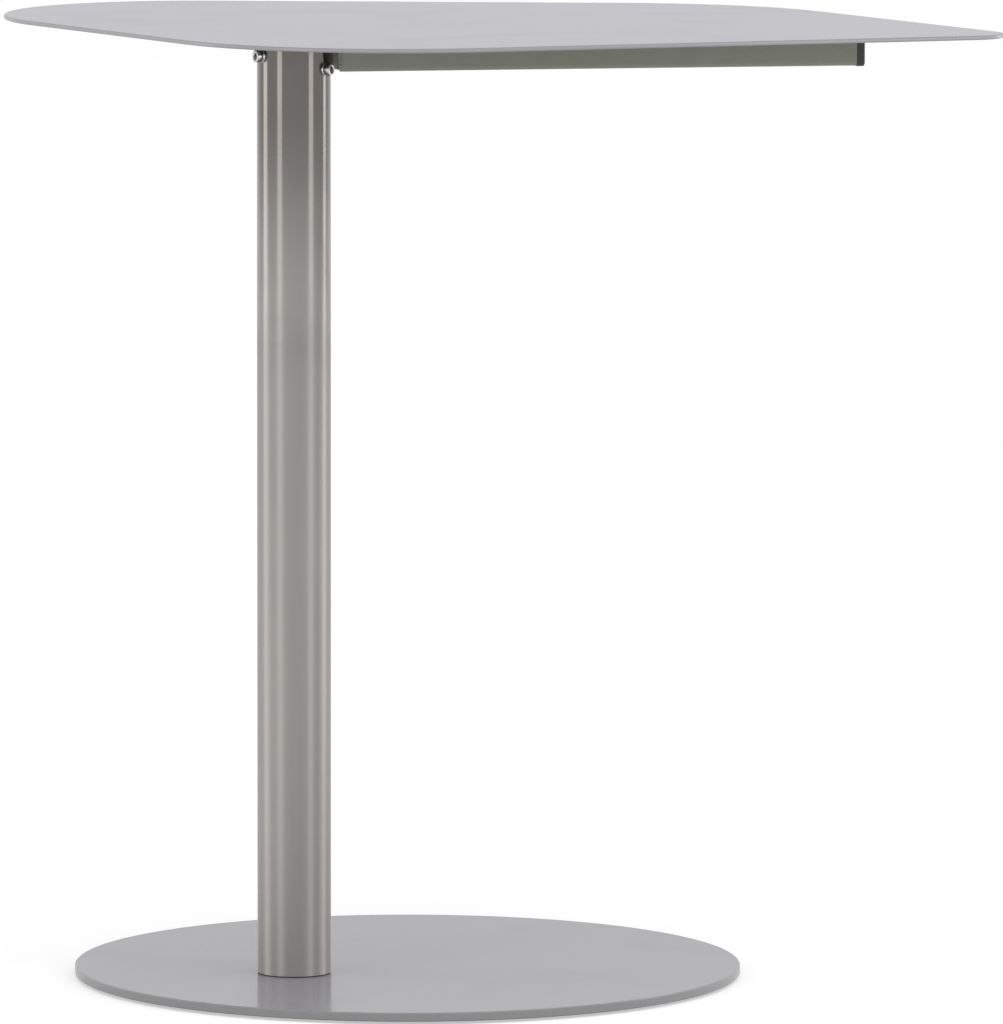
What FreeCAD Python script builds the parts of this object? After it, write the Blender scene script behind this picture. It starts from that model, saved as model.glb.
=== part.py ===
import FreeCAD, Part
import math
import os
import Sketcher

# Corner table: a round steel plate on the floor carries a round column, and a thin rounded top on two
# tube arms turns on a spigot in the column's mouth, where three socket screws clamp it.
# The frame has +Z up. The origin is on the floor under the middle of the base plate, and the column
# stands at minus X from it. Sizes are in millimetres and degrees.

size = {
    # whole table
    "total_height": 646.0,
    "column_offset": 90.0,
    "top_angle": -21.5,
    # pads under the base plate
    "glide_diameter": 24.0,
    "glide_thickness": 2.0,
    "glide_inset": 27.5,
    "glide_count": 6.0,
    # base plate
    "base_diameter": 455.0,
    "base_thickness": 6.0,
    "base_edge_break": 0.7,
    # countersunk screws from the base plate into the foot plug
    "base_screw_size": 6.0,
    "base_screw_length": 18.0,
    "base_screw_head": 12.0,
    "base_screw_land": 0.3,
    "base_screw_socket": 4.0,
    "base_screw_socket_depth": 2.2,
    "base_screw_ring_radius": 14.0,
    "base_screw_count": 3.0,
    # foot of the column
    "gasket_thickness": 0.8,
    "gasket_inset": 0.4,
    "gasket_bore": 12.0,
    "foot_plug_height": 22.0,
    # column
    "column_diameter": 50.0,
    "column_wall": 1.5,
    "plug_fit": 0.1,
    # clamp at the column's mouth
    "ring_height": 32.0,
    "ring_inset": 0.5,
    "clamp_screw_size": 5.0,
    "clamp_head": 8.5,
    "clamp_head_height": 5.0,
    "clamp_head_break": 0.5,
    "clamp_socket": 4.0,
    "clamp_socket_depth": 2.5,
    "clamp_count": 3.0,
    "clamp_angle": 178.5,
    "clamp_first_drop": 5.0,
    "clamp_drop_step": 4.5,
    "clamp_tip_gap": 0.3,
    # spigot
    "spigot_diameter": 38.0,
    "spigot_wall": 3.0,
    "spigot_length": 140.0,
    "running_clearance": 0.08,
    "waist_depth": 1.0,
    "waist_margin": 0.5,
    "spigot_plug_flange": 12.0,
    "spigot_plug_stem": 18.0,
    "spigot_plug_wall": 3.0,
    "spigot_plug_break": 1.0,
    # ring between the column's rim and the head plate
    "washer_thickness": 1.0,
    "washer_inset": 0.3,
    "washer_clearance": 0.3,
    # head plate
    "plate_thickness": 3.0,
    "plate_radius": 36.0,
    "tongue_length": 100.0,
    # arms under the top
    "arm_width": 30.0,
    "arm_height": 20.0,
    "arm_wall": 1.5,
    "arm_corner": 3.0,
    "arm_end_wall": 2.0,
    "arm_sweep_gap": 2.0,
    "side_arm_reach": 385.0,
    "rear_arm_reach": 300.0,
    "rear_arm_angle": 75.0,
    "stud_near": 140.0,
    "stud_end_distance": 45.0,
    "access_hole": 14.0,
    # plastic caps in the arms' ends
    "cap_flange": 5.5,
    "cap_lip": 0.4,
    "cap_round": 1.5,
    "cap_stem_length": 16.0,
    "cap_core_inset": 2.0,
    "cap_fin_thickness": 1.0,
    "cap_fin_count": 3.0,
    "cap_fit": 0.1,
    # studs under the top and their nuts
    "stud_size": 5.0,
    "stud_length": 10.0,
    "stud_collar": 6.5,
    "stud_collar_thickness": 0.8,
    "nut_width": 8.0,
    "nut_height": 4.7,
    "nut_flange": 11.8,
    "nut_flange_thickness": 1.2,
    # top sheet: corners before rounding, from the column's axis, with X along the side arm
    "sheet_thickness": 3.0,
    "sheet_edge_break": 0.5,
    "back_left_x": -252.0,
    "back_left_y": 413.0,
    "back_left_radius": 132.0,
    "front_left_x": -28.0,
    "front_left_y": -141.0,
    "front_left_radius": 166.0,
    "right_tip_x": 493.0,
    "right_tip_y": -56.0,
    "right_tip_radius": 28.0,
    "back_right_x": 368.0,
    "back_right_y": 266.0,
    "back_right_radius": 168.0,
    # general clearances
    "thread_clearance": 0.05,
    "hole_clearance": 0.3,
    "overrun": 1.0,
}

doc = FreeCAD.newDocument("corner_table")
book = doc.addObject("Spreadsheet::Sheet", "sizes")
for row, (alias, number) in enumerate(size.items(), start=1):
    book.set(f"A{row}", alias)
    book.set(f"B{row}", str(number))
    book.setAlias(f"B{row}", alias)
doc.recompute()

# Heights and radii that several pieces share, as formulas of the sheet's cells
base_bottom = "sizes.glide_thickness"
base_top = f"({base_bottom} + sizes.base_thickness)"
column_foot = f"({base_top} + sizes.gasket_thickness)"
sheet_bottom = "(sizes.total_height - sizes.sheet_thickness)"
plate_bottom = f"({sheet_bottom} - sizes.plate_thickness)"
column_rim = f"({plate_bottom} - sizes.washer_thickness)"
spigot_bottom = f"({plate_bottom} - sizes.spigot_length)"
column_radius = "(sizes.column_diameter / 2)"
column_bore = f"({column_radius} - sizes.column_wall)"
plug_radius = f"({column_bore} - sizes.plug_fit)"
spigot_radius = "(sizes.spigot_diameter / 2)"
spigot_bore = f"({spigot_radius} - sizes.spigot_wall)"
last_drop = "(sizes.clamp_first_drop + sizes.clamp_drop_step * (sizes.clamp_count - 1))"
arm_cope = f"({column_radius} + sizes.clamp_head_height + sizes.arm_sweep_gap)"
column_axis_x = "-sizes.column_offset"


def value(formula):
    return float(book.evalExpression(formula))


# Sketches, features and placements


def new_body(label):
    body = doc.addObject("PartDesign::Body", label)
    body.Label = label
    return body


def new_sketch(body, name, plane="XY_Plane", height=None, shift_x=None):
    sketch = body.newObject("Sketcher::SketchObject", f"{body.Label}_{name}")
    support = next(f for f in body.Origin.OriginFeatures if f.Role == plane)
    sketch.AttachmentSupport = [(support, "")]
    sketch.MapMode = "FlatFace"
    if height:
        sketch.setExpression("AttachmentOffset.Base.z", height)
    if shift_x:
        sketch.setExpression("AttachmentOffset.Base.x", shift_x)
    return sketch


def bind(sketch, constraint, name, formula):
    index = sketch.addConstraint(constraint)
    sketch.renameConstraint(index, name)
    sketch.setExpression(f"Constraints.{name}", formula)


def pin(sketch, geometry, point, name, x, y):
    # a zero coordinate lies on the sketch's own axis: -2 is the vertical one, -1 the horizontal
    for kind, axis, letter, formula in (("DistanceX", -2, "x", x), ("DistanceY", -1, "y", y)):
        if formula == "0":
            sketch.addConstraint(Sketcher.Constraint("PointOnObject", geometry, point, axis))
        else:
            distance = Sketcher.Constraint(kind, -1, 1, geometry, point, value(formula))
            bind(sketch, distance, f"{name}_{letter}", formula)


def add_circle(sketch, name, radius, x="0", y="0"):
    centre = FreeCAD.Vector(value(x), value(y), 0)
    circle = Part.Circle(centre, FreeCAD.Vector(0, 0, 1), value(radius))
    index = sketch.addGeometry(circle, False)
    pin(sketch, index, 3, name, x, y)
    bind(sketch, Sketcher.Constraint("Radius", index, value(radius)), f"{name}_radius", radius)


def add_polygon(sketch, name, corners):
    points = [FreeCAD.Vector(value(x), value(y), 0) for x, y in corners]
    lines = []
    for start, end in zip(points, points[1:] + points[:1]):
        lines.append(sketch.addGeometry(Part.LineSegment(start, end), False))
    for line, following in zip(lines, lines[1:] + lines[:1]):
        sketch.addConstraint(Sketcher.Constraint("Coincident", line, 2, following, 1))
    for number, (line, (x, y)) in enumerate(zip(lines, corners), start=1):
        pin(sketch, line, 1, f"{name}_{number}", x, y)


def add_rectangle(sketch, name, left, right, bottom, top):
    add_polygon(sketch, name, [(left, bottom), (right, bottom), (right, top), (left, top)])


def add_hexagon(sketch, name, across_flats):
    corner = f"{across_flats} / 2 / cos(30)"
    corners = [
        (f"{corner} * cos({30 + 60 * side})", f"{corner} * sin({30 + 60 * side})") for side in range(6)
    ]
    add_polygon(sketch, name, [("0" if abs(value(x)) < 1e-9 else x, y) for x, y in corners])


def pad(body, sketch, length, reversed_side=False):
    feature = body.newObject("PartDesign::Pad", f"{sketch.Name}_pad")
    feature.Profile = sketch
    feature.setExpression("Length", length)
    feature.Reversed = reversed_side
    doc.recompute()
    return feature


def pocket(body, sketch, depth=None, reversed_side=False):
    # the volume has to fall, because a pocket that points away from the solid raises no error
    before = body.Shape.Volume
    feature = body.newObject("PartDesign::Pocket", f"{sketch.Name}_pocket")
    feature.Profile = sketch
    feature.Reversed = reversed_side
    if depth:
        feature.setExpression("Length", depth)
    else:
        feature.Type = "ThroughAll"
    doc.recompute()
    if body.Shape.Volume >= before:
        raise RuntimeError(f"{feature.Name} cuts nothing")
    return feature


def revolve(body, sketch, kind="PartDesign::Revolution"):
    feature = body.newObject(kind, f"{sketch.Name}_turned")
    feature.Profile = sketch
    feature.ReferenceAxis = (sketch, ["V_Axis"])
    feature.Angle = 360
    doc.recompute()
    return feature


def edges_of(feature, chosen):
    return [f"Edge{i}" for i, edge in enumerate(feature.Shape.Edges, start=1) if chosen(edge)]


def soften(body, feature, chosen, amount, name, kind="PartDesign::Fillet"):
    softened = body.newObject(kind, f"{body.Label}_{name}")
    softened.Base = (feature, edges_of(feature, chosen))
    softened.setExpression("Radius" if kind.endswith("Fillet") else "Size", amount)
    doc.recompute()
    return softened


def at_height(formula):
    level = value(formula)
    return lambda edge: all(abs(v.Z - level) < 1e-6 for v in edge.Vertexes)


def along_x(edge):
    start, end = edge.Vertexes[0].Point, edge.Vertexes[-1].Point
    return abs(start.y - end.y) < 1e-6 and abs(start.z - end.z) < 1e-6 and len(edge.Vertexes) == 2


def place(piece, height, angle=None, x=column_axis_x):
    if angle:
        piece.Placement = FreeCAD.Placement(
            FreeCAD.Vector(0, 0, 0), FreeCAD.Rotation(FreeCAD.Vector(0, 0, 1), value(angle))
        )
        piece.setExpression("Placement.Rotation.Angle", angle)
    if x != "0":
        piece.setExpression("Placement.Base.x", x)
    piece.setExpression("Placement.Base.z", height)


def cylinder(label, radius, height, bottom="0", x=column_axis_x):
    solid = doc.addObject("Part::Cylinder", label)
    solid.Label = label
    solid.setExpression("Radius", radius)
    solid.setExpression("Height", height)
    place(solid, bottom, x=x)
    return solid


def radial_placement(number):
    # seat of one clamp screw: on the column's face, with local Z pointing outward
    turn = math.radians(value(f"sizes.clamp_angle - 360 / sizes.clamp_count * {number}"))
    drop = value(f"sizes.clamp_first_drop + sizes.clamp_drop_step * {number}")
    outward = FreeCAD.Vector(math.cos(turn), math.sin(turn), 0)
    seat = FreeCAD.Vector(value(column_axis_x), 0, value(column_rim) - drop)
    seat = seat + outward * value(column_radius)
    return FreeCAD.Placement(seat, FreeCAD.Rotation(FreeCAD.Vector(0, 0, 1), outward))


def arm_placement(angle, reach, height):
    # a point on an arm's centre line, at a distance from the column's axis
    turn = math.radians(value(angle))
    foot = FreeCAD.Vector(value(column_axis_x), 0, value(height))
    along = FreeCAD.Vector(math.cos(turn), math.sin(turn), 0)
    rotation = FreeCAD.Rotation(FreeCAD.Vector(0, 0, 1), value(angle))
    return FreeCAD.Placement(foot + along * value(reach), rotation)


def group(label, master, placements):
    copies = [master.Shape.transformed(p.toMatrix()) for p in placements]
    feature = doc.addObject("Part::Feature", label)
    feature.Label = label
    feature.Shape = Part.makeCompound(copies)
    return feature


# Pads under the base plate: one in the middle and a ring of them near the rim


def make_glides():
    glides = [cylinder("glide_centre", "sizes.glide_diameter / 2", "sizes.glide_thickness", x="0")]
    reach = "(sizes.base_diameter / 2 - sizes.glide_inset)"
    for number in range(int(size["glide_count"])):
        turn = f"360 / sizes.glide_count * {number}"
        glide = cylinder(f"glide_{number + 1}", "sizes.glide_diameter / 2", "sizes.glide_thickness")
        glide.setExpression("Placement.Base.x", f"{reach} * cos({turn})")
        glide.setExpression("Placement.Base.y", f"{reach} * sin({turn})")
        glides.append(glide)
    return glides


# Base plate: a disc with broken edges and countersunk holes from below, round the column's axis


def make_base_plate():
    body = new_body("base_plate")
    disc = new_sketch(body, "disc")
    add_circle(disc, "rim", "sizes.base_diameter / 2")
    plate = pad(body, disc, "sizes.base_thickness")
    soften(body, plate, lambda edge: True, "sizes.base_edge_break", "edges", "PartDesign::Chamfer")
    holes = new_sketch(body, "holes", shift_x=column_axis_x)
    add_circle(holes, "hole", "sizes.base_screw_size / 2", x="sizes.base_screw_ring_radius")
    doc.recompute()
    before = body.Shape.Volume
    hole = body.newObject("PartDesign::Hole", "base_plate_hole")
    hole.Profile = holes
    hole.Reversed = True
    doc.recompute()
    hole.DepthType = "ThroughAll"
    hole.HoleCutType = "Countersink"
    hole.HoleCutCustomValues = True
    hole.HoleCutCountersinkAngle = 90
    hole.setExpression("Diameter", "sizes.base_screw_size + 2 * sizes.hole_clearance")
    hole.setExpression("HoleCutDiameter", "sizes.base_screw_head + 2 * sizes.hole_clearance")
    doc.recompute()
    ring = body.newObject("PartDesign::PolarPattern", "base_plate_hole_ring")
    ring.Originals = [hole]
    ring.Axis = (holes, ["N_Axis"])
    ring.Angle = 360
    ring.setExpression("Occurrences", "sizes.base_screw_count")
    body.Tip = ring
    doc.recompute()
    if body.Shape.Volume >= before:
        raise RuntimeError("the base plate's holes cut nothing")
    place(body, base_bottom, x="0")
    return body


# Countersunk screw with a hexagon socket: local Z runs up from the flat of its head


def make_base_screws():
    body = new_body("base_screw")
    half = new_sketch(body, "half", "XZ_Plane")
    head = "sizes.base_screw_head / 2"
    shank = "sizes.base_screw_size / 2"
    cone_top = f"(sizes.base_screw_land + {head} - {shank})"
    add_polygon(
        half,
        "half",
        [
            ("0", "0"),
            (head, "0"),
            (head, "sizes.base_screw_land"),
            (shank, cone_top),
            (shank, "sizes.base_screw_length"),
            ("0", "sizes.base_screw_length"),
        ],
    )
    revolve(body, half)
    socket = new_sketch(body, "socket")
    add_hexagon(socket, "socket", "sizes.base_screw_socket")
    pocket(body, socket, "sizes.base_screw_socket_depth", reversed_side=True)
    places = []
    for number in range(int(size["base_screw_count"])):
        turn = math.radians(value(f"360 / sizes.base_screw_count * {number}"))
        reach = value("sizes.base_screw_ring_radius")
        x = value(column_axis_x) + reach * math.cos(turn)
        spot = FreeCAD.Vector(x, reach * math.sin(turn), value(base_bottom))
        places.append(FreeCAD.Placement(spot, FreeCAD.Rotation()))
    return group("base_screws", body, places)


# Gasket between the column and the base plate, with the screws' holes through it


def make_foot_gasket():
    body = new_body("foot_gasket")
    ring = new_sketch(body, "ring")
    add_circle(ring, "rim", f"{column_radius} - sizes.gasket_inset")
    add_circle(ring, "bore", "sizes.gasket_bore / 2")
    pad(body, ring, "sizes.gasket_thickness")
    add_screw_ring(body, "sizes.base_screw_size / 2 + sizes.hole_clearance")
    place(body, base_top)
    return body


# Foot plug: a turned disc in the column's lower end, tapped for the base screws


def make_foot_plug():
    body = new_body("foot_plug")
    disc = new_sketch(body, "disc")
    add_circle(disc, "rim", plug_radius)
    pad(body, disc, "sizes.foot_plug_height")
    add_screw_ring(body, "sizes.base_screw_size / 2 + sizes.thread_clearance")
    place(body, column_foot)
    return body


def add_screw_ring(body, radius):
    sketch = new_sketch(body, "screw_hole")
    add_circle(sketch, "hole", radius, x="sizes.base_screw_ring_radius")
    first = pocket(body, sketch, reversed_side=True)
    ring = body.newObject("PartDesign::PolarPattern", f"{body.Label}_screw_ring")
    ring.Originals = [first]
    ring.Axis = (sketch, ["N_Axis"])
    ring.Angle = 360
    ring.setExpression("Occurrences", "sizes.base_screw_count")
    body.Tip = ring
    doc.recompute()


# Column: a tube from the gasket to the rim, drilled round its mouth for the clamp screws


def drilled_tube(label, outer, bore, bottom, height, hole):
    blank = cylinder(f"{label}_blank", outer, height, bottom)
    tools = [cylinder(f"{label}_bore", bore, height, bottom)]
    for number in range(int(size["clamp_count"])):
        drill = doc.addObject("Part::Cylinder", f"{label}_drill_{number + 1}")
        drill.setExpression("Radius", hole)
        drill.setExpression("Height", column_radius)
        seat = radial_placement(number)
        inward = seat.Rotation.multVec(FreeCAD.Vector(0, 0, -value(f"{column_radius} - {spigot_bore}")))
        drill.Placement = FreeCAD.Placement(seat.Base + inward, seat.Rotation)
        tools.append(drill)
    cutters = doc.addObject("Part::MultiFuse", f"{label}_cutters")
    cutters.Shapes = tools
    tube = doc.addObject("Part::Cut", label)
    tube.Label = label
    tube.Base = blank
    tube.Tool = cutters
    return tube


def make_column_tube():
    hole = "sizes.clamp_screw_size / 2 + sizes.hole_clearance"
    height = f"{column_rim} - {column_foot}"
    return drilled_tube("column_tube", column_radius, column_bore, column_foot, height, hole)


# Head ring: the thick ring inside the mouth whose threads take the clamp screws


def make_head_ring():
    hole = "sizes.clamp_screw_size / 2 + sizes.thread_clearance"
    bore = f"{spigot_radius} + sizes.running_clearance"
    bottom = f"{column_rim} - sizes.ring_inset - sizes.ring_height"
    return drilled_tube("head_ring", plug_radius, bore, bottom, "sizes.ring_height", hole)


# Clamp screws: socket heads seated on the column, stepping down by one pitch from screw to screw


def make_clamp_screws():
    body = new_body("clamp_screw")
    head = new_sketch(body, "head")
    add_circle(head, "rim", "sizes.clamp_head / 2")
    knob = pad(body, head, "sizes.clamp_head_height")
    top = at_height("sizes.clamp_head_height")
    soften(body, knob, top, "sizes.clamp_head_break", "break", "PartDesign::Chamfer")
    shank = new_sketch(body, "shank")
    add_circle(shank, "rim", "sizes.clamp_screw_size / 2")
    waist_face = f"({spigot_radius} - sizes.waist_depth)"
    pad(body, shank, f"{column_radius} - {waist_face} - sizes.clamp_tip_gap", reversed_side=True)
    socket = new_sketch(body, "socket", height="sizes.clamp_head_height")
    add_hexagon(socket, "socket", "sizes.clamp_socket")
    pocket(body, socket, "sizes.clamp_socket_depth")
    places = [radial_placement(number) for number in range(int(size["clamp_count"]))]
    return group("clamp_screws", body, places)


# Washer between the column's rim and the head plate


def make_thrust_washer():
    body = new_body("thrust_washer")
    ring = new_sketch(body, "ring")
    add_circle(ring, "rim", f"{column_radius} - sizes.washer_inset")
    add_circle(ring, "bore", f"{spigot_radius} + sizes.washer_clearance")
    pad(body, ring, "sizes.washer_thickness")
    place(body, column_rim)
    return body


# Spigot: a tube under the head plate, with a necked waist where the screws' tips bear on it


def make_spigot_tube():
    body = new_body("spigot_tube")
    ring = new_sketch(body, "ring")
    add_circle(ring, "rim", spigot_radius)
    add_circle(ring, "bore", spigot_bore)
    pad(body, ring, "sizes.spigot_length")
    waist = new_sketch(body, "waist", "XZ_Plane")
    mouth = "(sizes.spigot_length - sizes.washer_thickness)"
    reach = "(sizes.clamp_screw_size / 2 + sizes.waist_margin)"
    add_rectangle(
        waist,
        "waist",
        f"{spigot_radius} - sizes.waist_depth",
        f"{spigot_radius} + sizes.overrun",
        f"{mouth} - {last_drop} - {reach}",
        f"{mouth} - sizes.clamp_first_drop + {reach}",
    )
    before = body.Shape.Volume
    revolve(body, waist, "PartDesign::Groove")
    if body.Shape.Volume >= before:
        raise RuntimeError("the spigot's waist cuts nothing")
    place(body, spigot_bottom, "sizes.top_angle")
    return body


# Spigot plug: a hollow stem pressed up the spigot, on a flange that runs in the column's bore


def make_spigot_plug():
    body = new_body("spigot_plug")
    flange = new_sketch(body, "flange")
    add_circle(flange, "rim", f"{column_bore} - sizes.running_clearance")
    disc = pad(body, flange, "sizes.spigot_plug_flange", reversed_side=True)
    foot = at_height("-sizes.spigot_plug_flange")
    soften(body, disc, foot, "sizes.spigot_plug_break", "break", "PartDesign::Chamfer")
    stem = new_sketch(body, "stem")
    stem_radius = f"({spigot_bore} - sizes.plug_fit)"
    add_circle(stem, "rim", stem_radius)
    pad(body, stem, "sizes.spigot_plug_stem")
    well = new_sketch(body, "well", height="sizes.spigot_plug_stem")
    add_circle(well, "bore", f"{stem_radius} - sizes.spigot_plug_wall")
    pocket(body, well)
    place(body, spigot_bottom, "sizes.top_angle")
    return body


# Head plate: a disc over the spigot with a tongue along each arm


def make_head_plate():
    body = new_body("head_plate")
    disc = new_sketch(body, "disc")
    add_circle(disc, "rim", "sizes.plate_radius")
    pad(body, disc, "sizes.plate_thickness")
    tongue = new_sketch(body, "tongue")
    half = "sizes.arm_width / 2"
    add_rectangle(tongue, "tongue", "0", "sizes.tongue_length", f"-{half}", half)
    first = pad(body, tongue, "sizes.plate_thickness")
    pair = body.newObject("PartDesign::PolarPattern", "head_plate_tongues")
    pair.Originals = [first]
    pair.Axis = (tongue, ["N_Axis"])
    pair.Occurrences = 2
    pair.setExpression("Angle", "sizes.rear_arm_angle")
    body.Tip = pair
    doc.recompute()
    place(body, plate_bottom, "sizes.top_angle")
    return body


# Arms: rectangular tube, closed and coped clear of the screw heads at the inner end, notched for the
# plate's tongue, and drilled for the studs above and the nut spanner below. Local X runs along the
# arm, and its top is at Z zero.


def make_arm(label, reach, angle):
    body = new_body(label)
    half = "sizes.arm_width / 2"
    profile = new_sketch(body, "profile", "YZ_Plane")
    add_rectangle(profile, "outer", f"-{half}", half, "-sizes.arm_height", "0")
    bar = pad(body, profile, reach)
    soften(body, bar, along_x, "sizes.arm_corner", "corners")
    hollow = new_sketch(body, "hollow", "YZ_Plane", height=f"{arm_cope} + sizes.arm_end_wall")
    inner = f"({half} - sizes.arm_wall)"
    floor = "-(sizes.arm_height - sizes.arm_wall)"
    add_rectangle(hollow, "inner", f"-{inner}", inner, floor, "-sizes.arm_wall")
    bored = pocket(body, hollow, reversed_side=True)
    limit = value(inner) + 1e-6
    roof, bed = value("-sizes.arm_wall") + 1e-6, value(floor) - 1e-6
    inside = lambda edge: along_x(edge) and all(
        abs(v.Y) < limit and bed < v.Z < roof for v in edge.Vertexes
    )
    soften(body, bored, inside, "sizes.arm_corner - sizes.arm_wall", "inner_corners")
    notch = new_sketch(body, "notch")
    wide = f"({half} + sizes.overrun)"
    add_rectangle(notch, "notch", "0", "sizes.tongue_length", f"-{wide}", wide)
    pocket(body, notch, "sizes.plate_thickness")
    cope = new_sketch(body, "cope")
    add_circle(cope, "cope", arm_cope)
    pocket(body, cope)
    studs = new_sketch(body, "studs")
    stud_hole = "sizes.stud_collar / 2 + sizes.hole_clearance"
    add_circle(studs, "near", stud_hole, x="sizes.stud_near")
    add_circle(studs, "far", stud_hole, x=f"{reach} - sizes.stud_end_distance")
    pocket(body, studs, "sizes.arm_wall + sizes.overrun")
    spanner = new_sketch(body, "spanner", height="-sizes.arm_height")
    add_circle(spanner, "near", "sizes.access_hole / 2", x="sizes.stud_near")
    add_circle(spanner, "far", "sizes.access_hole / 2", x=f"{reach} - sizes.stud_end_distance")
    pocket(body, spanner, "sizes.arm_wall + sizes.overrun", reversed_side=True)
    place(body, sheet_bottom, angle)
    return body


# Arm cap: a rounded flange on the tube's end, and a finned stem that grips the inside of the tube


def make_cap(label, reach, angle):
    body = new_body(label)
    half = "sizes.arm_width / 2"
    flange = new_sketch(body, "flange", "YZ_Plane", height=reach)
    side = f"({half} + sizes.cap_lip)"
    below = "-(sizes.arm_height + sizes.cap_lip)"
    add_rectangle(flange, "flange", f"-{side}", side, below, "0")
    block = pad(body, flange, "sizes.cap_flange")
    block = soften(body, block, along_x, "sizes.arm_corner", "corners")
    face = value(f"{reach} + sizes.cap_flange")
    outer = lambda edge: all(abs(v.X - face) < 1e-6 for v in edge.Vertexes)
    soften(body, block, outer, "sizes.cap_round", "round")
    core = new_sketch(body, "core", "YZ_Plane", height=reach)
    core_half = f"({half} - sizes.arm_wall - sizes.cap_core_inset)"
    core_floor = "-(sizes.arm_height - sizes.arm_wall - sizes.cap_core_inset)"
    core_roof = "-(sizes.arm_wall + sizes.cap_core_inset)"
    add_rectangle(core, "core", f"-{core_half}", core_half, core_floor, core_roof)
    pad(body, core, "sizes.cap_stem_length", reversed_side=True)
    pitch = "(sizes.cap_stem_length / sizes.cap_fin_count)"
    fin = new_sketch(body, "fin", "YZ_Plane", height=f"{reach} - {pitch} + sizes.cap_fin_thickness")
    fin_half = f"({half} - sizes.arm_wall - sizes.cap_fit)"
    fin_floor = "-(sizes.arm_height - sizes.arm_wall - sizes.cap_fit)"
    fin_roof = "-(sizes.arm_wall + sizes.cap_fit)"
    bevel = "(sizes.arm_corner - sizes.arm_wall)"
    add_polygon(
        fin,
        "fin",
        [
            (f"-({fin_half} - {bevel})", fin_floor),
            (f"{fin_half} - {bevel}", fin_floor),
            (fin_half, f"{fin_floor} + {bevel}"),
            (fin_half, f"{fin_roof} - {bevel}"),
            (f"{fin_half} - {bevel}", fin_roof),
            (f"-({fin_half} - {bevel})", fin_roof),
            (f"-{fin_half}", f"{fin_roof} - {bevel}"),
            (f"-{fin_half}", f"{fin_floor} + {bevel}"),
        ],
    )
    first = pad(body, fin, "sizes.cap_fin_thickness", reversed_side=True)
    fins = body.newObject("PartDesign::LinearPattern", f"{label}_fins")
    fins.Originals = [first]
    fins.Direction = (fin, ["N_Axis"])
    fins.Reversed = True
    fins.setExpression("Length", f"{pitch} * (sizes.cap_fin_count - 1)")
    fins.setExpression("Occurrences", "sizes.cap_fin_count")
    body.Tip = fins
    doc.recompute()
    place(body, sheet_bottom, angle)
    return body


# Top sheet: four straight sides, each corner with its own radius, and broken edges


def make_table_sheet():
    body = new_body("table_sheet")
    outline = new_sketch(body, "outline")
    corners = ["back_left", "front_left", "right_tip", "back_right"]
    add_polygon(outline, "corner", [(f"sizes.{c}_x", f"sizes.{c}_y") for c in corners])
    plate = pad(body, outline, "sizes.sheet_thickness")
    for corner in corners:
        x, y = value(f"sizes.{corner}_x"), value(f"sizes.{corner}_y")
        upright = lambda edge: all(math.hypot(v.X - x, v.Y - y) < 1e-3 for v in edge.Vertexes)
        plate = soften(body, plate, upright, f"sizes.{corner}_radius", corner)
    flat = lambda edge: abs(edge.Vertexes[0].Z - edge.Vertexes[-1].Z) < 1e-6
    soften(body, plate, flat, "sizes.sheet_edge_break", "rims", "PartDesign::Chamfer")
    place(body, sheet_bottom, "sizes.top_angle")
    return body


# Studs welded under the top, and their flanged nuts inside the arms. Local Z runs down the stud.


def stud_places(height):
    flip = FreeCAD.Rotation(FreeCAD.Vector(1, 0, 0), 180)
    places = []
    for angle, reach in (
        ("sizes.top_angle", "sizes.side_arm_reach"),
        ("sizes.top_angle + sizes.rear_arm_angle", "sizes.rear_arm_reach"),
    ):
        for spot in ("sizes.stud_near", f"{reach} - sizes.stud_end_distance"):
            place_on_arm = arm_placement(angle, spot, height)
            places.append(FreeCAD.Placement(place_on_arm.Base, place_on_arm.Rotation.multiply(flip)))
    return places


def make_sheet_studs():
    body = new_body("sheet_stud")
    collar = new_sketch(body, "collar")
    add_circle(collar, "rim", "sizes.stud_collar / 2")
    pad(body, collar, "sizes.stud_collar_thickness")
    shank = new_sketch(body, "shank")
    add_circle(shank, "rim", "sizes.stud_size / 2")
    pad(body, shank, "sizes.stud_length")
    return group("sheet_studs", body, stud_places(sheet_bottom))


def make_stud_nuts():
    body = new_body("stud_nut")
    flange = new_sketch(body, "flange")
    add_circle(flange, "rim", "sizes.nut_flange / 2")
    pad(body, flange, "sizes.nut_flange_thickness")
    hexagon = new_sketch(body, "hexagon")
    add_hexagon(hexagon, "flats", "sizes.nut_width")
    pad(body, hexagon, "sizes.nut_height")
    bore = new_sketch(body, "bore")
    add_circle(bore, "bore", "sizes.stud_size / 2 + sizes.thread_clearance")
    pocket(body, bore, reversed_side=True)
    return group("stud_nuts", body, stud_places(f"{sheet_bottom} - sizes.arm_wall"))


rear_angle = "sizes.top_angle + sizes.rear_arm_angle"
pieces = make_glides() + [
    make_base_plate(),
    make_base_screws(),
    make_foot_gasket(),
    make_foot_plug(),
    make_column_tube(),
    make_head_ring(),
    make_clamp_screws(),
    make_thrust_washer(),
    make_spigot_tube(),
    make_spigot_plug(),
    make_head_plate(),
    make_arm("side_arm", "sizes.side_arm_reach", "sizes.top_angle"),
    make_arm("rear_arm", "sizes.rear_arm_reach", rear_angle),
    make_cap("side_arm_cap", "sizes.side_arm_reach", "sizes.top_angle"),
    make_cap("rear_arm_cap", "sizes.rear_arm_reach", rear_angle),
    make_table_sheet(),
    make_sheet_studs(),
    make_stud_nuts(),
]
doc.recompute()

# Every object has to be sound before anything is written
for item in doc.Objects:
    if "Invalid" in item.State or "Error" in item.State:
        raise RuntimeError(f"{item.Name} failed: {item.State}")
for piece in pieces:
    if piece.Shape.isNull() or not piece.Shape.isValid() or not piece.Shape.Solids:
        raise RuntimeError(f"{piece.Label} has no sound solid")

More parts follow.
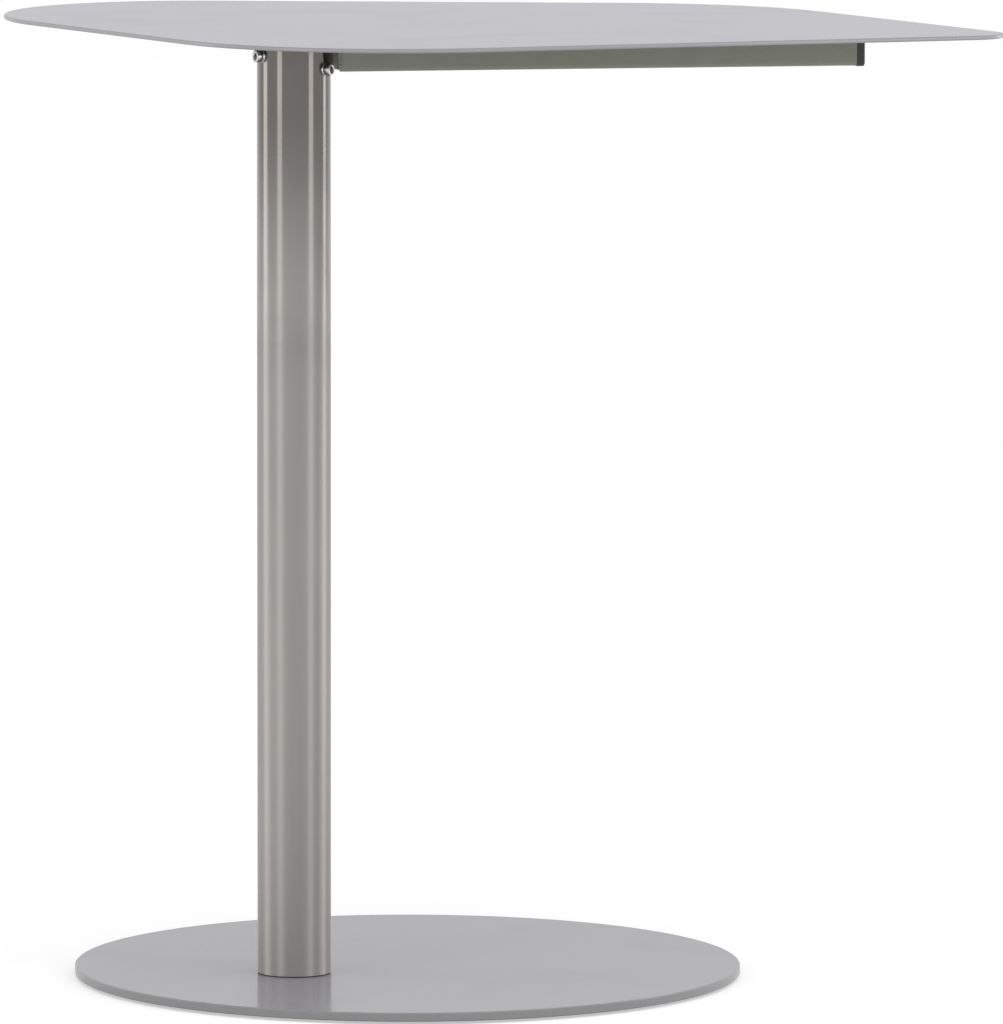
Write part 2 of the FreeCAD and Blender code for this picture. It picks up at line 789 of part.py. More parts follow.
os.makedirs("parts", exist_ok=True)
for piece in pieces:
    piece.Shape.exportStep(f"parts/{piece.Label}.step")
    box = piece.Shape.BoundBox
    print(
        f"{piece.Label}: {len(piece.Shape.Solids)} solid(s), {piece.Shape.Volume / 1000:.1f} cm3,"
        f" Z {box.ZMin:.1f} to {box.ZMax:.1f}"
    )
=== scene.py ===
import math

import bpy
import bmesh
from mathutils import Matrix, Vector


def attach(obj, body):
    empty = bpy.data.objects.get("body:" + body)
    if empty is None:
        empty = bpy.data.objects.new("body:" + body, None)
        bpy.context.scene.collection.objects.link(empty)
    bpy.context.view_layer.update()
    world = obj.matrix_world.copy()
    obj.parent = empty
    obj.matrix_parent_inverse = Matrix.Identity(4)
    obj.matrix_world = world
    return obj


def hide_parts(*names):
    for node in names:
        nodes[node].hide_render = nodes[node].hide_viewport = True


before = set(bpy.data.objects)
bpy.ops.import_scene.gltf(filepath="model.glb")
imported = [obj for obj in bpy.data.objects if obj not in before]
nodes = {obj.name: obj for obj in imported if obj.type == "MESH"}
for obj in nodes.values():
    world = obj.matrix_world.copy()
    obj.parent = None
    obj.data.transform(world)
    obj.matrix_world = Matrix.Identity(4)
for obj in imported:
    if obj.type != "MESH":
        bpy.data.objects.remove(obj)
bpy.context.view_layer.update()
print("frame loaded:", len(nodes), "CAD nodes")

# all lengths are in metres
columnAxis = Vector((-0.090, 0.0, 0.0))  # the column stands here
topTurn = math.radians(-21.5)  # the side arm's direction
rearTurn = topTurn + math.radians(75.0)  # the rear arm's direction
mergeDistance = 1e-6


# small helpers for node trees and objects

def setInputs(tree, node, values):
    for key, val in values.items():
        if isinstance(val, bpy.types.NodeSocket):
            tree.links.new(val, node.inputs[key])
        else:
            node.inputs[key].default_value = val


def addNode(tree, kind, inputs=None, **props):
    node = tree.nodes.new(kind)
    for key, val in props.items():
        setattr(node, key, val)
    setInputs(tree, node, inputs or {})
    return node


def mathNode(tree, operation, *operands):
    return addNode(tree, "ShaderNodeMath", dict(enumerate(operands)), operation=operation).outputs[0]


def remap(tree, value, fromLow, fromHigh, toLow=0.0, toHigh=1.0, smooth=False):
    node = addNode(tree, "ShaderNodeMapRange", {0: value, 1: fromLow, 2: fromHigh, 3: toLow, 4: toHigh})
    node.interpolation_type = "SMOOTHSTEP" if smooth else "LINEAR"
    return node.outputs[0]


def mixColor(tree, factor, a, b):
    a, b = (val if isinstance(val, bpy.types.NodeSocket) else (*val, 1.0) for val in (a, b))
    return addNode(tree, "ShaderNodeMix", {0: factor, 6: a, 7: b}, data_type="RGBA").outputs[2]


def tintWhere(tree, colour, mask, share, towards):
    # moves a colour by a share towards another, where a mask says so
    return mixColor(tree, mathNode(tree, "MULTIPLY", mask, share), colour, towards)


def addNoise(tree, place, scale, look):
    return addNode(tree, "ShaderNodeTexNoise", {"Vector": place, "Scale": scale, **look}).outputs[0]


def newTree(kind, name, inputs, outputs):
    # sockets are given as a label and a kind
    tree = bpy.data.node_groups.new(name, kind)
    for side, sockets in (("INPUT", inputs), ("OUTPUT", outputs)):
        for label, socket in sockets.items():
            tree.interface.new_socket(label, in_out=side, socket_type="NodeSocket" + socket)
    return tree, tree.nodes.new("NodeGroupInput"), tree.nodes.new("NodeGroupOutput")


def useGroup(tree, group, values):
    return addNode(tree, "ShaderNodeGroup", values, node_tree=group).outputs


def addObject(name, data):
    obj = bpy.data.objects.new(name, data)
    bpy.context.scene.collection.objects.link(obj)
    return obj


# shared surface effects

coatGrain = {
    "fineNoise": {"Detail": 2.0, "Roughness": 0.55},
    "fineHeight": 0.6,
    "cellShare": 0.45,  # pebble cells to one fine grain
    "cellHeight": 0.5,
    "mottleNoise": {"Detail": 4.0, "Roughness": 0.6, "Distortion": 0.4},
    "mottleRange": (0.3, 0.7),
    "fleckShare": 9.0,  # flecks to one mottle
    "fleckNoise": {"Detail": 1.0},
    "fleckRange": (0.62, 0.74),
}


def makeGrainGroup(look):
    # powder-coat pebble: a fine grain for the bump, a soft mottle and sparse flecks
    inputs = {"Position": "Vector", "Grains per Metre": "Float", "Mottles per Metre": "Float"}
    outputs = {"Grain": "Float", "Mottle": "Float", "Flecks": "Float"}
    group, gin, gout = newTree("ShaderNodeTree", "coatGrain", inputs, outputs)
    pos, grains, mottles = (gin.outputs[label] for label in inputs)
    fine = addNoise(group, pos, grains, look["fineNoise"])
    cellScale = mathNode(group, "MULTIPLY", grains, look["cellShare"])
    cells = addNode(group, "ShaderNodeTexVoronoi", {"Vector": pos, "Scale": cellScale}, feature="SMOOTH_F1")
    pebble = mathNode(group, "MULTIPLY", cells.outputs["Distance"], look["cellHeight"])
    grain = mathNode(group, "ADD", mathNode(group, "MULTIPLY", fine, look["fineHeight"]), pebble)
    soft = addNoise(group, pos, mottles, look["mottleNoise"])
    spots = addNoise(group, pos, mathNode(group, "MULTIPLY", mottles, look["fleckShare"]), look["fleckNoise"])
    setInputs(group, gout, {
        "Grain": grain,
        "Mottle": remap(group, soft, *look["mottleRange"]),
        "Flecks": remap(group, spots, *look["fleckRange"]),
    })
    return group


brushedLines = {
    "lineSquash": (0.02, 0.02, 1.0),
    "lineNoise": {"Detail": 3.0},
    "streakSquash": (1.0, 1.0, 0.035),
    "streakNoise": {"Detail": 3.0},
    "streakRange": (0.3, 0.7),
}


def makeBrushGroup(look):
    # fine turned lines round an upright tube, and slow streaks down it
    inputs = {"Position": "Vector", "Lines per Metre": "Float", "Streaks per Metre": "Float"}
    outputs = {"Lines": "Float", "Streaks": "Float"}
    group, gin, gout = newTree("ShaderNodeTree", "brushedLines", inputs, outputs)
    pos, perLine, perStreak = (gin.outputs[label] for label in inputs)
    flat = addNode(group, "ShaderNodeVectorMath", {0: pos, 1: look["lineSquash"]}, operation="MULTIPLY")
    tall = addNode(group, "ShaderNodeVectorMath", {0: pos, 1: look["streakSquash"]}, operation="MULTIPLY")
    streaks = addNoise(group, tall.outputs[0], perStreak, look["streakNoise"])
    setInputs(group, gout, {
        "Lines": addNoise(group, flat.outputs[0], perLine, look["lineNoise"]),
        "Streaks": remap(group, streaks, *look["streakRange"]),
    })
    return group


handling = {
    "smearNoise": {"Detail": 5.0, "Distortion": 1.1},
    "smearRange": (0.48, 0.72),
    "scratchTurn": (0.3, 0.2, 0.7),
    "scratchSquash": (1.0, 0.06, 1.0),
    "scratchesPerMetre": 420.0,
    "scratchNoise": {"Detail": 1.5},
    "scratchRange": (0.66, 0.72),
}


def makeHandlingGroup(look):
    # where hands and cloths have been: broad smears with a few fine scratches
    inputs = {"Position": "Vector", "Smears per Metre": "Float"}
    outputs = {"Smears": "Float", "Scratches": "Float"}
    group, gin, gout = newTree("ShaderNodeTree", "handling", inputs, outputs)
    pos, perSmear = (gin.outputs[label] for label in inputs)
    smears = addNoise(group, pos, perSmear, look["smearNoise"])
    stretched = addNode(group, "ShaderNodeMapping", {
        "Vector": pos, "Rotation": look["scratchTurn"], "Scale": look["scratchSquash"]})
    hairs = addNoise(group, stretched.outputs[0], look["scratchesPerMetre"], look["scratchNoise"])
    setInputs(group, gout, {
        "Smears": remap(group, smears, *look["smearRange"], smooth=True),
        "Scratches": remap(group, hairs, *look["scratchRange"]),
    })
    return group


settledDust = {
    "upRange": (0.5, 0.95),  # of the normal's Z
    "sideRange": (0.3, 0.85),
    "cloudsPerMetre": 14.0,
    "cloudNoise": {"Detail": 6.0, "Roughness": 0.7},
    "cloudRange": (0.35, 0.7),
    "thinnest": 0.25,
}


def makeDustGroup(look):
    # a thin veil that settles only on what faces up, and a mask of what faces sideways, which the coats use
    # for painted light round plate edges
    inputs = {"Position": "Vector", "Amount": "Float"}
    group, gin, gout = newTree("ShaderNodeTree", "settledDust", inputs, {"Veil": "Float", "Side": "Float"})
    geometry = group.nodes.new("ShaderNodeNewGeometry")
    normalZ = addNode(group, "ShaderNodeSeparateXYZ", {0: geometry.outputs["Normal"]}).outputs[2]
    facingUp = remap(group, normalZ, *look["upRange"], smooth=True)
    cloud = addNoise(group, gin.outputs["Position"], look["cloudsPerMetre"], look["cloudNoise"])
    cover = remap(group, cloud, *look["cloudRange"], toLow=look["thinnest"])
    veil = mathNode(group, "MULTIPLY", facingUp, cover)
    slope = mathNode(group, "ABSOLUTE", normalZ)
    setInputs(group, gout, {
        "Veil": mathNode(group, "MULTIPLY", veil, gin.outputs["Amount"]),
        "Side": remap(group, slope, *look["sideRange"], toLow=1.0, toHigh=0.0),
    })
    return group


edgeRub = {
    "samples": 4,
    "bendRange": (0.995, 0.9),  # cosine between the rounded normal and the plain one
    "breaksPerMetre": 180.0,
    "breakNoise": {"Detail": 3.0},
    "breakRange": (0.4, 0.65),
    "leastRub": 0.1,
}


def makeEdgeGroup(look):
    # 1 along a piece's outer edges, broken up by noise, for paint that is rubbed thin there
    inputs = {"Position": "Vector", "Width": "Float"}
    group, gin, gout = newTree("ShaderNodeTree", "edgeRub", inputs, {"Rub": "Float"})
    bevel = addNode(group, "ShaderNodeBevel", {"Radius": gin.outputs["Width"]}, samples=look["samples"])
    geometry = group.nodes.new("ShaderNodeNewGeometry")
    bend = addNode(group, "ShaderNodeVectorMath", {0: bevel.outputs[0], 1: geometry.outputs["Normal"]},
                   operation="DOT_PRODUCT")
    nearEdge = remap(group, bend.outputs["Value"], *look["bendRange"])
    breakUp = addNoise(group, gin.outputs["Position"], look["breaksPerMetre"], look["breakNoise"])
    patches = remap(group, breakUp, *look["breakRange"], toLow=look["leastRub"])
    setInputs(group, gout, {"Rub": mathNode(group, "MULTIPLY", nearEdge, patches)})
    return group


grainGroup = makeGrainGroup(coatGrain)
brushGroup = makeBrushGroup(brushedLines)
handlingGroup = makeHandlingGroup(handling)
dustGroup = makeDustGroup(settledDust)
edgeGroup = makeEdgeGroup(edgeRub)
print("surface effects built")


# finishes

def newFinish(name):
    material = bpy.data.materials.new(name)
    material.use_nodes = True
    tree = material.node_tree
    shader = tree.nodes["Principled BSDF"]
    place = tree.nodes.new("ShaderNodeTexCoord").outputs["Object"]
    return material, tree, shader, place


def useWear(tree, place, look):
    # grain, handling and rubbed edges, which every hard finish but the tube's starts from
    grain = useGroup(tree, grainGroup, {
        "Position": place,
        "Grains per Metre": look["grainsPerMetre"],
        "Mottles per Metre": look["mottlesPerMetre"],
    })
    hands = useGroup(tree, handlingGroup, {"Position": place, "Smears per Metre": look["smearsPerMetre"]})
    edge = useGroup(tree, edgeGroup, {"Position": place, "Width": look["rubWidth"]})
    return grain, hands, edge


def setRoughness(tree, shader, rough, *layers):
    # each layer is a mask and the roughness that it adds
    for mask, amount in layers:
        rough = mathNode(tree, "MULTIPLY_ADD", mask, amount, rough)
    tree.links.new(rough, shader.inputs["Roughness"])


def setBump(tree, shader, height, depth):
    bump = addNode(tree, "ShaderNodeBump", {"Height": height, "Distance": depth})
    tree.links.new(bump.outputs[0], shader.inputs["Normal"])


powderCoat = {
    "rubbedColour": (0.48, 0.48, 0.50),
    "dustColour": (0.50, 0.49, 0.48),
    "roughness": 0.50,
    "roughnessSpread": 0.12,
    "smearRoughness": 0.06,
    "dustRoughness": 0.5,
    "specular": 0.12,
    "gloss": 0.54,
    "glossRoughness": 0.15,
    "grainsPerMetre": 1500.0,
    "mottlesPerMetre": 55.0,
    "smearsPerMetre": 8.0,
    "grainDepth": 0.00005,
    "scratchDepth": -0.12,  # share of the grain's depth
    "rubWidth": 0.0007,
    "rubShare": 0.35,
    "fleckShare": 0.12,
    "paintedLightRimShare": 0.9,
    "dust": 0.06,
}


def makeCoat(name, look):
    material, tree, shader, place = newFinish(name)
    grain, hands, edge = useWear(tree, place, look)
    dust = useGroup(tree, dustGroup, {"Position": place, "Amount": look["dust"]})
    colour = mixColor(tree, grain["Mottle"], look["colour"], look["mottleColour"])
    if "paintedLightRimColour" in look:  # painted light: faces that look sideways, round a plate's edge, are painted paler
        colour = tintWhere(tree, colour, dust["Side"], look["paintedLightRimShare"], look["paintedLightRimColour"])
    colour = tintWhere(tree, colour, grain["Flecks"], look["fleckShare"], look["rubbedColour"])
    colour = tintWhere(tree, colour, edge["Rub"], look["rubShare"], look["rubbedColour"])
    colour = mixColor(tree, dust["Veil"], colour, look["dustColour"])
    if "paintedLightEndColour" in look:  # painted light: the cut ends that face the column sit in shade in the narrow gap, and are painted much lighter
        flat = addNode(tree, "ShaderNodeMapping", {
            "Vector": place, "Location": tuple(-columnAxis), "Scale": (1.0, 1.0, 0.0)})
        reach = addNode(tree, "ShaderNodeVectorMath", {0: flat.outputs[0]}, operation="LENGTH")
        fadeFrom, fadeTo = look["endReach"], look["endReach"] + look["endFade"]
        paintedLightAtEnd = remap(tree, reach.outputs["Value"], fadeFrom, fadeTo, toLow=1.0, toHigh=0.0)
        colour = mixColor(tree, paintedLightAtEnd, colour, look["paintedLightEndColour"])
    setInputs(tree, shader, {
        "Base Color": colour,
        "Specular IOR Level": look["specular"],
        "Coat Weight": look["gloss"],
        "Coat Roughness": look["glossRoughness"],
    })
    setRoughness(tree, shader, look["roughness"], (grain["Mottle"], look["roughnessSpread"]),
                 (hands["Smears"], look["smearRoughness"]), (dust["Veil"], look["dustRoughness"]))
    height = mathNode(tree, "MULTIPLY_ADD", hands["Scratches"], look["scratchDepth"], grain["Grain"])
    setBump(tree, shader, height, look["grainDepth"])
    return material


basePaint = makeCoat("greyPowderCoat", powderCoat | {
    "colour": (0.249, 0.244, 0.273),
    "mottleColour": (0.280, 0.277, 0.297),
    "paintedLightRimColour": (0.330, 0.330, 0.332),
})
topPaint = makeCoat("topPowderCoat", powderCoat | {
    "colour": (0.274, 0.264, 0.314),
    "mottleColour": (0.304, 0.298, 0.333),
    "paintedLightRimColour": (0.44, 0.438, 0.442),
})
armCoat = powderCoat | {
    "colour": (0.273, 0.281, 0.231),
    "mottleColour": (0.302, 0.310, 0.257),
    "rubbedColour": (0.40, 0.40, 0.38),
    "gloss": 0.2,
    "glossRoughness": 0.12,
    "dust": 0.03,
}
platePaint = makeCoat("headPlateCoat", armCoat)
armPaint = makeCoat("armPowderCoat", armCoat | {
    "paintedLightEndColour": (0.86, 0.85, 0.82),
    "endReach": 0.0322,
    "endFade": 0.0004,
})


satinTube = {
    "colour": (0.556, 0.528, 0.506),
    "streakColour": (0.518, 0.492, 0.474),
    "lineColour": (0.435, 0.418, 0.404),
    "lineShare": 0.18,
    "paintedShadeHeadColour": (0.158, 0.148, 0.140),  # painted shade: much darker towards the top, under the tabletop; smoother there too
    "paintedShadeRange": (0.40, 0.605),
    "smoothRange": (0.42, 0.615),
    "roughness": 0.55,
    "headRoughness": 0.155,
    "lineRoughness": 0.04,
    "smearRoughness": 0.05,
    "anisotropy": 1.0,
    "grainTurn": 0.25,  # quarter turn: light spreads along the tube, not round it
    "linesPerMetre": 2400.0,
    "streaksPerMetre": 60.0,
    "smearsPerMetre": 14.0,
    "lineDepth": 0.000003,
}


def makeSatinTube(look):
    material, tree, shader, place = newFinish("satinSteelTube")
    onColumn = addNode(tree, "ShaderNodeMapping", {"Vector": place, "Location": tuple(-columnAxis)})
    brushed = useGroup(tree, brushGroup, {
        "Position": onColumn.outputs[0],
        "Lines per Metre": look["linesPerMetre"],
        "Streaks per Metre": look["streaksPerMetre"],
    })
    hands = useGroup(tree, handlingGroup, {"Position": place, "Smears per Metre": look["smearsPerMetre"]})
    colour = mixColor(tree, brushed["Streaks"], look["colour"], look["streakColour"])
    colour = tintWhere(tree, colour, brushed["Lines"], look["lineShare"], look["lineColour"])
    height = addNode(tree, "ShaderNodeSeparateXYZ", {0: place}).outputs["Z"]
    # painted shade: the colour darkens towards the column's top, under the tabletop
    paintedShadeNearHead = remap(tree, height, *look["paintedShadeRange"], smooth=True)
    tangent = addNode(tree, "ShaderNodeTangent", direction_type="RADIAL", axis="Z")
    setInputs(tree, shader, {
        "Base Color": mixColor(tree, paintedShadeNearHead, colour, look["paintedShadeHeadColour"]),
        "Metallic": 1.0,
        "Anisotropic": look["anisotropy"],
        "Anisotropic Rotation": look["grainTurn"],
        "Tangent": tangent.outputs[0],
    })
    rough = remap(tree, height, *look["smoothRange"], look["roughness"], look["headRoughness"])
    setRoughness(tree, shader, rough, (brushed["Lines"], look["lineRoughness"]),
                 (hands["Smears"], look["smearRoughness"]))
    setBump(tree, shader, brushed["Lines"], look["lineDepth"])
    return material


tubeSteel = makeSatinTube(satinTube)


plainSteel = {
    "rubbedColour": (0.70, 0.69, 0.68),
    "rubWidth": 0.0004,
    "rubShare": 0.4,
    "mottlesPerMetre": 130.0,
    "smearsPerMetre": 40.0,
    "smearRoughness": 0.08,
}


def makeMetal(name, look):
    # plated or machined steel, with a faint tint drifting over it
    material, tree, shader, place = newFinish(name)
    grain, hands, edge = useWear(tree, place, look)
    colour = mixColor(tree, grain["Mottle"], look["colour"], look["tint"])
    colour = tintWhere(tree, colour, edge["Rub"], look["rubShare"], look["rubbedColour"])
    setInputs(tree, shader, {"Base Color": colour, "Metallic": 1.0})
    setRoughness(tree, shader, look["roughness"], (grain["Mottle"], look["roughnessSpread"]),
                 (hands["Smears"], look["smearRoughness"]))
    setBump(tree, shader, grain["Grain"], look["grainDepth"])
    return material


screwSteel = makeMetal("brightScrewSteel", plainSteel | {
    "colour": (0.52, 0.515, 0.51),
    "tint": (0.44, 0.435, 0.43),
    "roughness": 0.20,
    "roughnessSpread": 0.07,
    "grainsPerMetre": 2600.0,
    "grainDepth": 0.000003,
})
zincSteel = makeMetal("zincPlatedSteel", plainSteel | {
    "colour": (0.62, 0.64, 0.67),
    "tint": (0.66, 0.64, 0.55),
    "roughness": 0.34,
    "roughnessSpread": 0.12,
    "grainsPerMetre": 1800.0,
    "grainDepth": 0.00002,
})


mattMoulding = {
    "scuffGain": 2.2,  # a scuff is this much lighter, and a little more
    "scuffLift": 0.01,
    "mottleShare": 0.35,
    "rubWidth": 0.0006,
    "rubShare": 0.5,
    "roughnessSpread": 0.12,
    "mottlesPerMetre": 90.0,
    "smearsPerMetre": 30.0,
    "smearRoughness": -0.06,
}


def makeMoulded(name, look):
    # matt moulded plastic or rubber: spark-eroded texture, lighter where it is scuffed
    material, tree, shader, place = newFinish(name)
    grain, hands, edge = useWear(tree, place, look)
    lighter = tuple(c * look["scuffGain"] + look["scuffLift"] for c in look["colour"])
    colour = tintWhere(tree, look["colour"], grain["Mottle"], look["mottleShare"], lighter)
    colour = tintWhere(tree, colour, edge["Rub"], look["rubShare"], lighter)
    setInputs(tree, shader, {"Base Color": colour})
    setRoughness(tree, shader, look["roughness"], (grain["Mottle"], look["roughnessSpread"]),
                 (hands["Smears"], look["smearRoughness"]))
    setBump(tree, shader, grain["Grain"], look["grainDepth"])
    return material


capPlastic = makeMoulded("mouldedBlackPlastic", mattMoulding | {
    "colour": (0.017, 0.017, 0.018),
    "roughness": 0.46,
    "grainsPerMetre": 2200.0,
    "grainDepth": 0.00005,
})
gasketRubber = makeMoulded("gasketRubber", mattMoulding | {
    "colour": (0.022, 0.021, 0.021),
    "roughness": 0.62,
    "grainsPerMetre": 3000.0,
    "grainDepth": 0.00004,
})


padFelt = {
    "darkFibre": (0.055, 0.055, 0.060),
    "lightFibre": (0.16, 0.16, 0.165),
    "fibresPerMetre": 2600.0,
    "fibreNoise": {"Detail": 6.0, "Distortion": 2.5},
    "clumpColour": (0.09, 0.088, 0.09),
    "clumpsPerMetre": 320.0,
    "clumpNoise": {"Detail": 4.0},
    "clumpRange": (0.35, 0.7),
    "clumpShare": 0.5,
    "roughFrom": (0.3, 0.7),
    "roughTo": (0.85, 1.0),
    "sheen": 0.35,
    "sheenRoughness": 0.6,
    "depth": 0.00035,
}


def makeFelt(look):
    material, tree, shader, place = newFinish("padFelt")
    fibres = addNoise(tree, place, look["fibresPerMetre"], look["fibreNoise"])
    clumps = addNoise(tree, place, look["clumpsPerMetre"], look["clumpNoise"])
    clumped = remap(tree, clumps, *look["clumpRange"], toHigh=look["clumpShare"])
    colour = mixColor(tree, fibres, look["darkFibre"], look["lightFibre"])
    setInputs(tree, shader, {
        "Base Color": mixColor(tree, clumped, colour, look["clumpColour"]),
        "Roughness": remap(tree, fibres, *look["roughFrom"], *look["roughTo"]),
        "Sheen Weight": look["sheen"],
        "Sheen Roughness": look["sheenRoughness"],
    })
    setBump(tree, shader, mathNode(tree, "ADD", fibres, clumps), look["depth"])
    return material


feltGrey = makeFelt(padFelt)
print("finishes built")


# finishes on the CAD nodes

cadFinishes = {
    "base_plate": basePaint,
    "head_plate": platePaint,
    "side_arm": armPaint,
    "rear_arm": armPaint,
    "table_sheet": topPaint,
    "column_tube": tubeSteel,
    "clamp_screws": screwSteel,
    "base_screws": zincSteel,
    "foot_plug": zincSteel,
    "head_ring": zincSteel,
    "spigot_tube": zincSteel,
    "sheet_studs": zincSteel,
    "stud_nuts": zincSteel,
    "foot_gasket": gasketRubber,
    "thrust_washer": capPlastic,
    "spigot_plug": capPlastic,
    "side_arm_cap": capPlastic,
    "rear_arm_cap": capPlastic,
}
for cadName, node in nodes.items():
    node.data.materials.clear()
    node.data.materials.append(cadFinishes.get(cadName, feltGrey))  # the rest are felt pads
print("CAD nodes finished")


# geometry helpers

def newShapeTree(name, inputs):
    return newTree("GeometryNodeTree", name, inputs, {"Geometry": "Geometry"})


def closeShapeTree(tree, geometry, gin, gout):
    real = addNode(tree, "GeometryNodeRealizeInstances", {0: geometry})
    dressed = addNode(tree, "GeometryNodeSetMaterial", {
        "Geometry": real.outputs[0], "Material": gin.outputs["Material"]})
    tree.links.new(dressed.outputs[0], gout.inputs[0])


def placeAbove(tree, axis, height):
    # the place at a height over the foot of an axis
    lift = addNode(tree, "ShaderNodeCombineXYZ", {"Z": height})
    return addNode(tree, "ShaderNodeVectorMath", {0: axis, 1: lift.outputs[0]}, operation="ADD").outputs[0]


def evaluatedMesh(obj):
    graph = bpy.context.evaluated_depsgraph_get()
    return bpy.data.meshes.new_from_object(obj.evaluated_get(graph), depsgraph=graph)


def growPiece(name, tree, values, carrierData=None):
    # runs the tree on an empty mesh, or on seams drawn as curves, and keeps a plain piece at the origin
    carrier = addObject(name + "Carrier", carrierData or bpy.data.meshes.new(name + "Carrier"))
    modifier = carrier.modifiers.new("shape", "NODES")
    modifier.node_group = tree
    for item in tree.interface.items_tree:
        if item.item_type == "SOCKET" and item.in_out == "INPUT" and item.name in values:
            modifier[item.identifier] = values[item.name]
    mesh = evaluatedMesh(carrier)
    mesh.name = name
    mesh.materials.clear()
    mesh.materials.append(values["Material"])
    mesh.polygons.foreach_set("material_index", [0] * len(mesh.polygons))
    bpy.data.objects.remove(carrier)
    return addObject(name, mesh)


def applyModifiers(piece):
    mesh = evaluatedMesh(piece)
    old = piece.data
    piece.modifiers.clear()
    piece.data = mesh
    mesh.name = piece.name
    bpy.data.meshes.remove(old)


def loftRings(name, rings, capped, sharpAngle):
    # skins rings of equal count in order; the ends get a centre point each, or are one ring and merge
    bm = bmesh.new()
    loops = [[bm.verts.new(p) for p in ring] for ring in rings]
    for a, b in zip(loops, loops[1:]):
        for i in range(len(a)):
            j = (i + 1) % len(a)
            bm.faces.new((a[i], a[j], b[j], b[i]))
    if capped:
        for loop in (loops[0], loops[-1]):
            centre = bm.verts.new(sum((v.co for v in loop), Vector()) / len(loop))
            for i in range(len(loop)):
                bm.faces.new((loop[i], loop[(i + 1) % len(loop)], centre))
    else:
        bmesh.ops.remove_doubles(bm, verts=bm.verts, dist=mergeDistance)
    bmesh.ops.recalc_face_normals(bm, faces=bm.faces)
    mesh = bpy.data.meshes.new(name)
    bm.to_mesh(mesh)
    bm.free()
    mesh.shade_smooth()
    mesh.set_sharp_from_angle(angle=math.radians(sharpAngle))
    return mesh


def polarRing(count, radiusAt):
    angles = [2 * math.pi * i / count for i in range(count)]
    return [(radiusAt(a) * math.cos(a), radiusAt(a) * math.sin(a)) for a in angles]


def circleRing(radius, count):
    return polarRing(count, lambda a: radius)


def hexRing(flats, count):
    return polarRing(count, lambda a: flats / 2 / math.cos(a % (math.pi / 3) - math.pi / 6))


# the top: one thin sheet, four straight sides, each corner with its own radius

topSheet = {
    "corners": [(-0.252, 0.413), (-0.028, -0.141), (0.493, -0.056), (0.368, 0.266)],
    "radii": [0.132, 0.166, 0.028, 0.168],
    "underside": 0.643,
    "thickness": 0.003,
    "edgeRound": 0.0013,
    "edgeSegments": 4,
    "edgeAngle": 50.0,  # degrees, and only sharper edges are rounded
    "arcSteps": 40,
}


def makeTopTree():
    numbers = range(1, len(topSheet["corners"]) + 1)
    inputs = {f"Corner {i}": "Vector" for i in numbers} | {f"Radius {i}": "Float" for i in numbers}
    inputs |= {"Thickness": "Float", "Underside": "Float", "Turn": "Float", "Axis": "Vector",
               "Arc Steps": "Int", "Material": "Material"}
    tree, gin, gout = newShapeTree("roundedSheet", inputs)
    points = {f"Point {i}": gin.outputs[f"Corner {i}"] for i in numbers}
    quad = addNode(tree, "GeometryNodeCurvePrimitiveQuadrilateral", points, mode="POINTS")
    pick = addNode(tree, "GeometryNodeIndexSwitch", data_type="FLOAT")
    while len(pick.index_switch_items) < len(numbers):
        pick.index_switch_items.new()
    tree.links.new(tree.nodes.new("GeometryNodeInputIndex").outputs[0], pick.inputs["Index"])
    setInputs(tree, pick, {i: gin.outputs[f"Radius {i}"] for i in numbers})
    fillet = addNode(tree, "GeometryNodeFilletCurve", {
        "Curve": quad.outputs[0], "Radius": pick.outputs[0], "Count": gin.outputs["Arc Steps"]}, mode="POLY")
    fill = addNode(tree, "GeometryNodeFillCurve", {"Curve": fillet.outputs[0]}, mode="NGONS")
    up = addNode(tree, "ShaderNodeCombineXYZ", {"Z": gin.outputs["Thickness"]})
    raised = addNode(tree, "GeometryNodeExtrudeMesh", {
        "Mesh": fill.outputs[0], "Offset": up.outputs[0], "Individual": False}, mode="FACES")
    bottom = addNode(tree, "GeometryNodeFlipFaces", {0: fill.outputs[0]})
    both = tree.nodes.new("GeometryNodeJoinGeometry")
    for skin in (raised, bottom):
        tree.links.new(skin.outputs[0], both.inputs[0])
    welded = addNode(tree, "GeometryNodeMergeByDistance", {
        "Geometry": both.outputs[0], "Distance": mergeDistance})
    turn = addNode(tree, "ShaderNodeCombineXYZ", {"Z": gin.outputs["Turn"]})
    placed = addNode(tree, "GeometryNodeTransform", {
        "Geometry": welded.outputs[0],
        "Translation": placeAbove(tree, gin.outputs["Axis"], gin.outputs["Underside"]),
        "Rotation": turn.outputs[0],
    })
    closeShapeTree(tree, placed.outputs[0], gin, gout)
    return tree


corners = {f"Corner {i}": (x, y, 0.0) for i, (x, y) in enumerate(topSheet["corners"], 1)}
radii = {f"Radius {i}": radius for i, radius in enumerate(topSheet["radii"], 1)}
top = growPiece("tabletopSheet", makeTopTree(), corners | radii | {
    "Thickness": topSheet["thickness"],
    "Underside": topSheet["underside"],
    "Turn": topTurn,
    "Axis": tuple(columnAxis),
    "Arc Steps": topSheet["arcSteps"],
    "Material": topPaint,
})
roundEdges = top.modifiers.new("roundEdges", "BEVEL")
roundEdges.width = topSheet["edgeRound"]
roundEdges.segments = topSheet["edgeSegments"]
roundEdges.limit_method = "ANGLE"
roundEdges.angle_limit = math.radians(topSheet["edgeAngle"])
roundEdges.harden_normals = True
top.data.shade_smooth()
applyModifiers(top)
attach(top, "top")
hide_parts("table_sheet")
print("top built:", len(top.data.polygons), "faces")


# clamp screws: three socket heads round the column's mouth, each lower than the last

